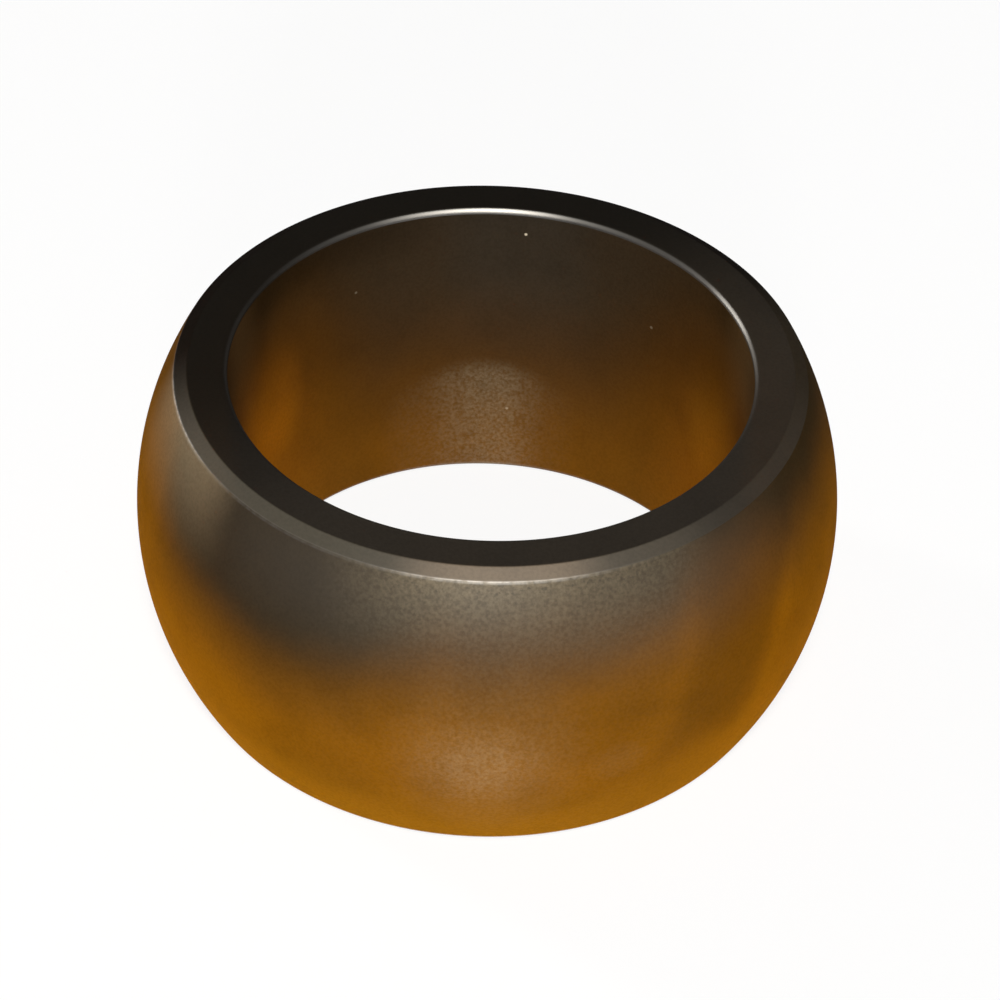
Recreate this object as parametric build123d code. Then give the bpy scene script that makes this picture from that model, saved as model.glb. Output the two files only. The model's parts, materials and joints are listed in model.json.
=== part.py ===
from build123d import *
import math
import os

# A ring insulator made from one piece of glass.
# A straight bore runs through it, its ends are ground flat and parallel, a shallow
# bevel leads out from each end face, and between the two bevels the outside is a
# zone of a ball centred in the ring.
# The frame's origin is the centre of that ball, with +Z along the bore.
# All lengths are in millimetres and all angles in degrees.

# Driving dimensions
bore_diameter = 65.0
ring_height = 44.0
end_face_width = 4.5  # ground flat, from the bore's chamfer out to the bevel
bevel_width = 1.9  # along its slope
bevel_angle = 28.0  # down from the end face
bore_chamfer = 0.5  # 45 degrees, at each end of the bore
arris_radius = 0.2  # stoned edges on both sides of a bevel

# Sizes that follow from them
bore_radius = bore_diameter / 2
half_height = ring_height / 2
end_face_radius = bore_radius + bore_chamfer + end_face_width
bevel_foot_radius = end_face_radius + bevel_width * math.cos(math.radians(bevel_angle))
bevel_foot_height = half_height - bevel_width * math.sin(math.radians(bevel_angle))
ball_radius = math.hypot(bevel_foot_radius, bevel_foot_height)


def half_section():
    """One side of the ring as a flat face in the XZ plane, with its edges broken."""
    with BuildSketch(Plane.XZ) as half:
        with BuildLine():
            Polyline(
                (bevel_foot_radius, bevel_foot_height),
                (end_face_radius, half_height),
                (bore_radius, half_height),
                (bore_radius, -half_height),
                (end_face_radius, -half_height),
                (bevel_foot_radius, -bevel_foot_height),
            )
            ThreePointArc(
                (bevel_foot_radius, -bevel_foot_height),
                (ball_radius, 0),
                (bevel_foot_radius, bevel_foot_height),
            )
        make_face()
        bore_ends, bevel_tops, bevel_feet = half.vertices().group_by(Axis.X)
        chamfer(bore_ends, length=bore_chamfer)
        fillet(bevel_tops + bevel_feet, radius=arris_radius)
    return half.sketch


def glass_ring():
    """The insulator: its half section turned once about the bore's axis."""
    with BuildPart() as ring:
        revolve(half_section(), axis=Axis.Z)
    return ring.part


os.makedirs("parts", exist_ok=True)
export_step(glass_ring(), "parts/glass_ring.step")
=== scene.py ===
import json
import math

import bmesh
import bpy
from mathutils import Matrix, Vector


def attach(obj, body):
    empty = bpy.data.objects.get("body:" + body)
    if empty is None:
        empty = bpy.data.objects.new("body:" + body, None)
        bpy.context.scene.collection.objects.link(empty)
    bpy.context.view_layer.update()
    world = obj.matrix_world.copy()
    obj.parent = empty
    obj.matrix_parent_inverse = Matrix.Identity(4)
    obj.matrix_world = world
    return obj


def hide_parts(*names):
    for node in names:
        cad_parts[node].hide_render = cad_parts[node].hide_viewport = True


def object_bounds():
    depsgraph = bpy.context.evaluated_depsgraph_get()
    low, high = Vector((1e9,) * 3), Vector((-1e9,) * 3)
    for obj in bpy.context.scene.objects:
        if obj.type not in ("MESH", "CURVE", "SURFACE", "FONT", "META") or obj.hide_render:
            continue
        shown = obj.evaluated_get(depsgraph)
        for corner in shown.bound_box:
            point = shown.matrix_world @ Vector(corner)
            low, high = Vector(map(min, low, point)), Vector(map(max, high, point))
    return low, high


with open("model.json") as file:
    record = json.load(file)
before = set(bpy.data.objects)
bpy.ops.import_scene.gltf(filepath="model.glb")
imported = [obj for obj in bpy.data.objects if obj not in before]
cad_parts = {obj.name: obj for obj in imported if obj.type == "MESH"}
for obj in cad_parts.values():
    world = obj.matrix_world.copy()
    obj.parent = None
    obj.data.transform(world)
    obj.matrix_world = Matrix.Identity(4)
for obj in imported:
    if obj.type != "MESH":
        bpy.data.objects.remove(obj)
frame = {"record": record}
cad_low, cad_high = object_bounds()

# ---------------------------------------------------------------- the ring
# One thick ring of smoky amber glass, moulded as a blank and then ground all over: a straight
# bore, flat ends, a narrow bevel at each end and a ball-shaped outside between the bevels.
# Every arris is stoned off, and the fine grinding leaves the whole surface satin.
bore = next(mount for mount in frame["record"]["mounts"] if mount["name"] == "bore")
bore_radius = bore["dims"]["r_mm"] / 1000
bore_chamfer = 0.0005
end_face_width = 0.0045
bevel_width = 0.0019
bevel_slope = math.radians(28)
stoned_width = 0.00006
mouth_easing = 0.00016
inside_cad = 0.00001
half_height = cad_high[2]
ball_radius = cad_high[0] - inside_cad
face_radius = bore_radius + bore_chamfer + end_face_width
foot_height = half_height - bevel_width * math.sin(bevel_slope)
foot_radius = math.sqrt(ball_radius ** 2 - foot_height ** 2)

# One end of the section, from the bore out to the foot of the bevel, as radius, height and
# the width that is eased off there. A point stands beside each corner, so that the flats
# shade flat.
beside = 0.00018
out_bevel, down_bevel = beside * math.cos(bevel_slope), beside * math.sin(bevel_slope)
end_points = [
    (bore_radius, half_height - bore_chamfer - beside, 0),
    (bore_radius, half_height - bore_chamfer, mouth_easing),
    (bore_radius + bore_chamfer, half_height, mouth_easing),
    (bore_radius + bore_chamfer + beside, half_height, 0),
    (face_radius - beside, half_height, 0),
    (face_radius, half_height, stoned_width),
    (face_radius + out_bevel, half_height - down_bevel, 0),
    (foot_radius - out_bevel, foot_height + down_bevel, 0),
    (foot_radius, foot_height, stoned_width),
]

# The ball between the two ends, and the closed section: lower end, ball, upper end.
ball_steps = 30
foot_angle = math.asin(foot_height / ball_radius)
ball_angles = [-foot_angle + beside / ball_radius]
ball_angles += [foot_angle * step / ball_steps for step in range(1 - ball_steps, ball_steps)]
ball_angles += [foot_angle - beside / ball_radius]
section = [(radius, -height, eased) for radius, height, eased in end_points]
section += [(ball_radius * math.cos(angle), ball_radius * math.sin(angle), 0)
            for angle in ball_angles]
section += end_points[::-1]

ring_bm = bmesh.new()
outline = [ring_bm.verts.new((radius, 0, height)) for radius, height, eased in section]
for here, there in zip(outline, outline[1:] + outline[:1]):
    ring_bm.edges.new((here, there))
bmesh.ops.spin(ring_bm, geom=ring_bm.verts[:] + ring_bm.edges[:], cent=(0, 0, 0), axis=(0, 0, 1),
               angle=math.tau, steps=360, use_merge=True)
bmesh.ops.remove_doubles(ring_bm, verts=ring_bm.verts, dist=1e-7)
bmesh.ops.recalc_face_normals(ring_bm, faces=ring_bm.faces)
near = 2e-6


def on_corner(vertex, corners):
    """True for a vertex of one of the circles where two ground surfaces meet."""
    radius = math.hypot(vertex.co.x, vertex.co.y)
    return any(abs(radius - r) < near and abs(vertex.co.z - z) < near for r, z in corners)


for easing in (mouth_easing, stoned_width):
    corners = [(radius, height) for radius, height, eased in section if eased == easing]
    arrises = [edge for edge in ring_bm.edges
               if abs(edge.verts[0].co.z - edge.verts[1].co.z) < near
               and all(on_corner(vertex, corners) for vertex in edge.verts)]
    bmesh.ops.bevel(ring_bm, geom=arrises, offset=easing, offset_type="OFFSET", segments=3,
                    profile=0.5, affect="EDGES", material=-1, clamp_overlap=True)
for face in ring_bm.faces:
    face.smooth = True
ring_mesh = bpy.data.meshes.new("ground_glass_ring")
ring_bm.to_mesh(ring_mesh)
ring_bm.free()
ring = bpy.data.objects.new("ground_glass_ring", ring_mesh)
bpy.context.scene.collection.objects.link(ring)


class Value:
    """A socket in a material, with arithmetic that adds Math nodes."""

    def __init__(self, nodes, socket):
        self.nodes, self.socket = nodes, socket

    def maths(self, operation, first, second=0.0):
        return self.nodes.node("ShaderNodeMath", {"operation": operation}, {0: first, 1: second})

    def __add__(self, other):
        return self.maths("ADD", self, other)

    __radd__ = __add__

    def __sub__(self, other):
        return self.maths("SUBTRACT", self, other)

    def __rsub__(self, other):
        return self.maths("SUBTRACT", other, self)

    def __mul__(self, other):
        return self.maths("MULTIPLY", self, other)

    __rmul__ = __mul__

    def __truediv__(self, other):
        return self.maths("DIVIDE", self, other)

    def __pow__(self, other):
        return self.maths("POWER", self, other)

    def __abs__(self):
        return self.maths("ABSOLUTE", self)


class Nodes:
    """The node tree of one material."""

    def __init__(self, name):
        self.material = bpy.data.materials.new(name)
        self.material.use_nodes = True
        self.tree = self.material.node_tree
        self.shader = self.tree.nodes["Principled BSDF"]
        self.output = self.tree.nodes["Material Output"]

    def put(self, node, sockets):
        """Sets each named socket of a node, or links a Value to it."""
        for key, value in sockets.items():
            if isinstance(value, Value):
                self.tree.links.new(value.socket, node.inputs[key])
            else:
                node.inputs[key].default_value = value

    def node(self, kind, settings=None, sockets=None, out=0):
        """Makes a node from its settings and then its sockets, and gives one output."""
        made = self.tree.nodes.new(kind)
        for key, value in (settings or {}).items():
            setattr(made, key, value)
        self.put(made, sockets or {})
        return Value(self, made.outputs[out])

    def ramp(self, value, low, high, start=0.0, end=1.0):
        """Goes smoothly from start to end while value goes from low to high."""
        return self.node("ShaderNodeMapRange", {"interpolation_type": "SMOOTHSTEP"},
                         {"Value": value, "From Min": low, "From Max": high,
                          "To Min": start, "To Max": end})

    def blend(self, factor, colour_a, colour_b):
        """Goes from colour_a to colour_b while factor goes from 0 to 1."""
        return self.node("ShaderNodeMix", {"data_type": "RGBA"},
                         {0: factor, 6: colour_a, 7: colour_b}, out=2)

    def noise(self, place, scale, detail=2.0, roughness=0.5):
        return self.node("ShaderNodeTexNoise", {},
                         {"Vector": place, "Scale": scale, "Detail": detail,
                          "Roughness": roughness})


# Where a point of the glass is: z runs up the bore, the front is -Y and the right +X.
glass = Nodes("smoky_amber_glass")
place = glass.node("ShaderNodeTexCoord", out="Object")
x, y, z = (glass.node("ShaderNodeSeparateXYZ", {}, {0: place}, out=axis) for axis in "XYZ")
radius = (x * x + y * y) ** 0.5
height = abs(z)
outside = glass.ramp(radius, 0.0330, 0.0385)
inside = 1 - outside
flat_end = glass.ramp(height, 0.02115 - outside * 0.00007, 0.02130 - outside * 0.00015)
upper_end = flat_end * glass.ramp(z, 0.0, 0.001)
on_bevel = glass.ramp(radius, 0.0373, 0.0376)


def toward(azimuth, slant=0.0):
    """The cosine of the angle round the ring from an azimuth, which may turn with height."""
    along, over = math.cos(math.radians(azimuth)), math.sin(math.radians(azimuth))
    return (x * (along - over * slant * z) + y * (over + along * slant * z)) / radius


def soft_spot(azimuth, width, level, tall):
    """A soft oval on the wall, 1 in the middle and 0 at its rim; width in degrees."""
    across = toward(azimuth + 90) / math.sin(math.radians(width))
    near_side = glass.ramp(toward(azimuth), 0.0, 0.4)
    return glass.ramp(across ** 2.0 + ((z - level) / tall) ** 2.0, 1.0, 0.0) * near_side


# The glass goes from amber low down to dark high up: partly its own smoke and partly painted
# shade, where less light comes through. The dark starts higher up on the left and right than at
# the front and back, reaches lowest on the front left, stays higher on the front right and
# dips slightly in the middle of the front.
side = x * x / (radius * radius)
right = glass.ramp(x / radius, 0.3, 0.95)
far_left = glass.ramp(x / radius, -0.85, -1.0)
lowest_front_left = glass.ramp(toward(-131), 0.80, 1.0)
higher_front_right = glass.ramp(toward(-45), 0.965, 1.0)
front_middle_dip = glass.ramp(toward(-99), 0.95, 1.0)
drift = glass.noise(place, 45.0, detail=3.0) - 0.5
level = z + drift * 0.008
edge_outside = (0.0090 + side * 0.0051 - lowest_front_left * 0.0078 + higher_front_right * 0.0034 + far_left * 0.0052
                - front_middle_dip * 0.0008)
depth_outside = 0.0119 - right * 0.0042 - lowest_front_left * 0.0024
smoke_and_shade_outside = glass.ramp(level, edge_outside - depth_outside, edge_outside + depth_outside)
edge_inside = -0.0041 + glass.ramp(side, 0.12, 0.56) * 0.0110 - far_left * 0.0016
depth_inside = 0.0194 - side * 0.0083
smoke_and_shade_inside = glass.ramp(level, edge_inside - depth_inside, edge_inside + depth_inside)
smoke_and_shade = smoke_and_shade_inside + outside * (smoke_and_shade_outside - smoke_and_shade_inside)

# The dark colour is brown. In the bore it is lighter towards the left and right as painted
# light, greyer at the back as a painted sheen, and darkest high on the back left as painted
# shade.
black = (0.0, 0.0, 0.0, 1)
dark_colour_inside = glass.blend(glass.ramp(side, 0.80, 1.0), (0.0415, 0.0240, 0.0096, 1),
                           (0.110, 0.065, 0.028, 1))
painted_sheen_back = glass.ramp(toward(86), 0.5, 1.0) * 0.38 + glass.ramp(toward(84), 0.93, 1.0) * 0.27
dark_colour_inside = glass.blend(painted_sheen_back, dark_colour_inside, (0.036, 0.034, 0.030, 1))
painted_shade_back = glass.ramp(toward(136), 0.80, 0.97) * glass.ramp(z, 0.0135, 0.0205) * 0.36
dark_colour_inside = glass.blend(painted_shade_back, dark_colour_inside, black)
dark_colour = glass.blend(outside, dark_colour_inside, (0.0304, 0.0207, 0.0091, 1))

# The amber is deepest at mid height. Painted light brightens it low down and on both sides,
# with a painted glow low on the left and right outside and two painted glowing patches in the
# bore, and painted shade darkens the bore's amber towards the top.
# Outside it has five faint darker patches, and a darker streak that slants.
dark_amber = (0.02, 0.012, 0.002, 1)
amber_outside = glass.blend(glass.ramp(z, -0.0047, -0.0338), (0.2525, 0.0965, 0.0022, 1),
                            (0.518, 0.2205, 0.0055, 1))
painted_glow = side * side * glass.ramp(z, 0.0115, -0.0188) * 0.53
amber_outside = glass.blend(painted_glow, amber_outside, (0.97, 0.36, 0.003, 1))
darker_patches = (soft_spot(-72, 19, 0.0, 0.0064) * 0.20 + soft_spot(-60, 12, 0.0050, 0.0062) * 0.15
         + soft_spot(-27, 10, 0.0042, 0.0088) * 0.14 + soft_spot(-157, 21, -0.002, 0.013) * 0.10
         + soft_spot(-117, 13, -0.0095, 0.0065) * 0.10)
amber_outside = glass.blend(darker_patches, amber_outside, dark_amber)
amber_inside = glass.blend(glass.ramp(side, 0.35, 1.22), (0.178, 0.0695, 0.0036, 1),
                           (0.590, 0.201, 0.0040, 1))
amber_inside = glass.blend(glass.ramp(z, -0.020, 0.010) * 0.22, amber_inside, black)
amber_inside = glass.blend(soft_spot(154, 16, 0.0018, 0.013) * 0.34, amber_inside,
                           (0.80, 0.27, 0.003, 1))
amber_inside = glass.blend(soft_spot(22, 18, 0.0022, 0.015) * 0.175, amber_inside,
                           (0.80, 0.34, 0.012, 1))
amber = glass.blend(outside, amber_inside, amber_outside)
streak = (glass.ramp(toward(-49, slant=8.36), 0.978, 0.999) * glass.ramp(z, -0.012, -0.001)
          * glass.ramp(z, 0.0224, 0.0104) * outside)
amber = glass.blend(streak * 0.42, amber, dark_amber)
body = glass.blend(smoke_and_shade, amber, dark_colour)

# Painted highlights and reflections, pale and speckled: a painted sheen under the bevel and a
# painted highlight low down at the front, a painted sheen under the bevel on the left, and a
# painted reflection as a patch with a domed top at the back of the bore.
front = glass.ramp(toward(-84), 0.79, 1.0)
painted_sheen_high = (front * glass.ramp(z, 0.0074, 0.042) * 0.290
              + glass.ramp(toward(-91), 0.940, 1.0) * glass.ramp(z, 0.0120, 0.036) * 0.12)
painted_highlight_low = (soft_spot(-83, 50, 0.002, 0.038) * 0.011
             + soft_spot(-88.6, 18, -0.0027, 0.0179) * 0.039
             + soft_spot(-90, 13, -0.0040, 0.0085) * 0.050
             + soft_spot(-90, 7, -0.0038, 0.0055) * 0.042
             + soft_spot(-68, 6, -0.0055, 0.004) * 0.02)
painted_light_outside = (painted_sheen_high + painted_highlight_low) * outside
painted_sheen_left = (glass.ramp(toward(-159), 0.923, 1.0) * glass.ramp(z, 0.0075, 0.0290) * outside
              * 0.287)
dome = z + toward(2) ** 2.0 * 0.028
painted_reflection_inside = ((soft_spot(91, 15, -0.013, 0.040) * 0.078
                 + soft_spot(90, 8, -0.013, 0.040) * 0.030
                 + soft_spot(93, 26, -0.013, 0.040) * 0.042)
                * glass.ramp(dome, -0.0022, -0.0060)
                * glass.ramp(z, -0.020, -0.006, start=0.82) * inside)
speckle = glass.noise(place, 2000.0, detail=2.0, roughness=0.6)
speckle_outside = glass.ramp(speckle, 0.28, 0.72, start=0.56, end=1.44)
speckle_inside = glass.ramp(speckle, 0.30, 0.70, start=0.36, end=1.64)
body = glass.blend(painted_light_outside * speckle_outside, body, (0.75, 0.62, 0.40, 1))
body = glass.blend(painted_sheen_left, body, (0.80, 0.66, 0.45, 1))
body = glass.blend(painted_reflection_inside * speckle_inside, body, (0.61, 0.57, 0.43, 1))

# The upper end is ground finer. Its face is painted nearly black as painted shade, a little
# paler towards the front right as a painted sheen; its bevel is dark at the back as painted
# shade and paler towards the front as a painted sheen, brightest at the very front.
end_face = glass.blend(glass.ramp(toward(-55), -0.5, 0.5), (0.0060, 0.0050, 0.0037, 1),
                       (0.027, 0.0230, 0.0190, 1))
bevel = glass.blend(glass.ramp(toward(-120), 0.45, 1.0), (0.008, 0.006, 0.005, 1),
                    (0.061, 0.055, 0.041, 1))
bevel = glass.blend(glass.ramp(toward(-10), 0.70, 0.92), bevel, (0.029, 0.024, 0.0175, 1))
bevel = glass.blend(glass.ramp(toward(-78), 0.75, 1.0), bevel, (0.074, 0.064, 0.049, 1))
bevel = glass.blend(glass.ramp(toward(-87), 0.935, 1.0), bevel, (0.190, 0.150, 0.110, 1))
body = glass.blend(upper_end, body, glass.blend(on_bevel, end_face, bevel))

# Four seeds, which are bubbles about half a millimetre across, show in the bore. Each has an
# azimuth, a level, a radius and a paleness.
seeds = ((83, 0.0183, 0.00028, 1.0), (86, -0.0114, 0.00026, 0.45),
         (50, 0.0092, 0.00030, 0.20), (124, 0.0118, 0.00026, 0.16))
for azimuth, seed_level, seed_radius, paleness in seeds:
    turn = math.radians(azimuth)
    seed = (bore_radius * math.cos(turn), bore_radius * math.sin(turn), seed_level)
    away = glass.node("ShaderNodeVectorMath", {"operation": "DISTANCE"}, {0: place, 1: seed},
                      out="Value")
    in_seed = glass.ramp(away, seed_radius, seed_radius * 0.4)
    body = glass.blend(in_seed * paleness, body, (0.80, 0.74, 0.60, 1))

# Fine grinding: a tight grain, a broader mottling and blotches, and pits under the bevel.
grain = glass.noise(place, 2600.0, detail=3.0)
mottle = glass.noise(place, 420.0, detail=3.0)
blotch = glass.noise(place, 150.0, detail=4.0)
body = glass.blend(glass.ramp(blotch, 0.40, 0.72) * 0.10, body, black)
body = glass.blend(glass.ramp(grain, 0.35, 0.70) * 0.16, body, black)
pits = (glass.ramp(glass.noise(place, 1800.0, detail=1.0), 0.60, 0.70)
        * glass.ramp(z, 0.0180, 0.0205) * front * (1 - flat_end) * outside)
body = glass.blend(pits * 0.45, body, (0.02, 0.016, 0.010, 1))
bump = glass.node("ShaderNodeBump", {},
                  {"Strength": 0.5, "Distance": 0.00008, "Height": grain * 0.6 + mottle * 0.4})

# The satin is closest near the upper end and on the chamfers, and the arris at the foot of
# each bevel is rubbed nearly bright.
satin_outside = glass.ramp(z, 0.004, 0.021) * glass.ramp(side, 0.9, 0.1) * 0.14 + 0.003
satin_wall = 0.012 + outside * (satin_outside - 0.012)
satin_face = 0.07
satin_bevel = 0.01 + glass.ramp(toward(-89), -0.1, 0.6) * 0.18
chamfer_shine = (0.42 + glass.ramp(toward(96), 0.90, 1.0) * 0.55
                 + glass.ramp(toward(22), 0.980, 1.0) * 0.50)
chamfer = (glass.ramp(radius, 0.03296, 0.03276) * chamfer_shine
           * glass.ramp(toward(72), 0.10, 0.75, start=0.15)
           * glass.ramp(z, 0.0, 0.001, start=0.2))
satin_end = satin_face + chamfer + on_bevel * (satin_bevel - satin_face)
arris_shine = (glass.ramp(toward(-88), 0.925, 1.0) * 0.65
               + glass.ramp(toward(-163), 0.960, 1.0) * 0.50
               + glass.ramp(toward(-125), 0.15, 0.9) * 0.27)
arris = (glass.ramp(abs(radius - foot_radius), 0.00020, 0.00007)
         * glass.ramp(height, 0.0206, 0.0209) * arris_shine
         * glass.ramp(glass.noise(place, 1300.0), 0.30, 0.60, start=0.4))
coat = satin_wall + flat_end * (satin_end - satin_wall) + arris * 0.60
glass.shader.distribution = "GGX"
glass.put(glass.shader, {
    "Base Color": body,
    "Roughness": 0.72 + mottle * 0.15,
    "Transmission Weight": 0.3,
    "IOR": 1.08,
    "Specular IOR Level": 0.0,
    "Specular Tint": black,
    "Coat Weight": coat,
    "Coat Roughness": 0.48,
    "Coat IOR": 3.0,
    "Normal": bump,
})
thickness_tint = glass.node("ShaderNodeVolumeAbsorption", {},
                            {"Color": (0.95, 0.85, 0.0, 1), "Density": 60.0})
glass.put(glass.output, {"Volume": thickness_tint})
ring_mesh.materials.append(glass.material)
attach(ring, "root")
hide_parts("glass_ring")

# ---------------------------------------------------------------- the table
# The ring stands on a plain white matt sweep: a round table top of painted board that curves
# up all round into a low wall, so that there is white behind the ring from every side.
table_radius = 3.2
wall_height = 0.9
wall_curve = 0.6
under_ring = 0.00005
sweep_bm = bmesh.new()
bmesh.ops.create_circle(sweep_bm, cap_ends=True, segments=96, radius=table_radius,
                        matrix=Matrix.Translation((0, 0, cad_low[2] - under_ring)))
foot = sweep_bm.edges[:]
raised = bmesh.ops.extrude_edge_only(sweep_bm, edges=foot)["geom"]
bmesh.ops.translate(sweep_bm, vec=(0, 0, wall_height),
                    verts=[item for item in raised if isinstance(item, bmesh.types.BMVert)])
bmesh.ops.bevel(sweep_bm, geom=foot, offset=wall_curve, offset_type="OFFSET", segments=8,
                profile=0.5, affect="EDGES", material=-1, clamp_overlap=True)
for face in sweep_bm.faces:
    face.smooth = True
sweep_mesh = bpy.data.meshes.new("sweep")
sweep_bm.to_mesh(sweep_mesh)
sweep_bm.free()
sweep = bpy.data.objects.new("sweep", sweep_mesh)
bpy.context.scene.collection.objects.link(sweep)

# The board looks white where it is seen, and takes the ring's shadow.
matt_white = Nodes("matt_white")
matt_white.put(matt_white.shader, {"Base Color": (0.84, 0.89, 0.98, 1), "Roughness": 0.9,
                                   "Specular IOR Level": 0.0})
camera_ray, glossy_ray, through_ray = (
    matt_white.node("ShaderNodeLightPath", out=kind)
    for kind in ("Is Camera Ray", "Is Glossy Ray", "Is Transmission Ray"))
seen = camera_ray + glossy_ray + through_ray
white = matt_white.node("ShaderNodeEmission", {}, {"Color": (1, 1, 1, 1), "Strength": 1.0})
lit = Value(matt_white, matt_white.shader.outputs[0])
surface = matt_white.node("ShaderNodeMixShader", {}, {0: seen * 0.75, 1: lit, 2: white})
matt_white.put(matt_white.output, {"Surface": surface})
sweep_mesh.materials.append(matt_white.material)

# ---------------------------------------------------------------- light
# Three soft round lamps: the main one over the viewer's shoulder, a weaker one low in front,
# and a low one behind on the left. The room adds a little even light.


def lamp(name, azimuth, elevation, size, power):
    """Hangs a disk lamp that points at the middle of the ring, with its angles in degrees."""
    light = bpy.data.lights.new(name, "AREA")
    light.shape = "DISK"
    light.size = size
    light.energy = power
    light.color = (1.0, 0.93, 0.82)
    holder = bpy.data.objects.new(name, light)
    bpy.context.scene.collection.objects.link(holder)
    distance = 2.4
    around, above = math.radians(azimuth), math.radians(elevation)
    spot = Vector((math.cos(above) * math.cos(around), math.cos(above) * math.sin(around),
                   math.sin(above))) * distance
    holder.matrix_world = (Matrix.Translation(spot)
                           @ (-spot).to_track_quat("-Z", "Y").to_matrix().to_4x4())


lamp("main_lamp", azimuth=-89, elevation=52, size=0.50, power=67.5)
lamp("front_lamp", azimuth=-89, elevation=16, size=0.40, power=15.4)
lamp("low_lamp", azimuth=150, elevation=14, size=0.36, power=18.8)
room = bpy.data.worlds.new("room")
room.use_nodes = True
room_light = room.node_tree.nodes["Background"]
room_light.inputs["Color"].default_value = (1, 1, 1, 1)
room_light.inputs["Strength"].default_value = 0.08
bpy.context.scene.world = room

# ---------------------------------------------------------------- camera
# It looks down at the ring from the front, held by hand: turned a little about its own line
# of sight, and aimed a little beside the middle of the ring.
camera_distance = 0.40292
camera_elevation = math.radians(40.741)
camera_roll = math.radians(1.860)
aim_right, aim_up = math.radians(0.2314), math.radians(-0.0305)
camera_data = bpy.data.cameras.new("camera")
camera_data.sensor_width = 36.0
camera_data.lens = 113.49
camera_data.clip_start = 0.01
camera = bpy.data.objects.new("camera", camera_data)
bpy.context.scene.collection.objects.link(camera)
camera.matrix_world = (Matrix.Rotation(math.pi / 2 - camera_elevation, 4, "X")
                       @ Matrix.Translation((0, 0, camera_distance))
                       @ Matrix.Rotation(camera_roll, 4, "Z")
                       @ Matrix.Rotation(aim_up, 4, "X")
                       @ Matrix.Rotation(-aim_right, 4, "Y"))
bpy.context.scene.camera = camera
bpy.context.scene.view_settings.view_transform = "Standard"
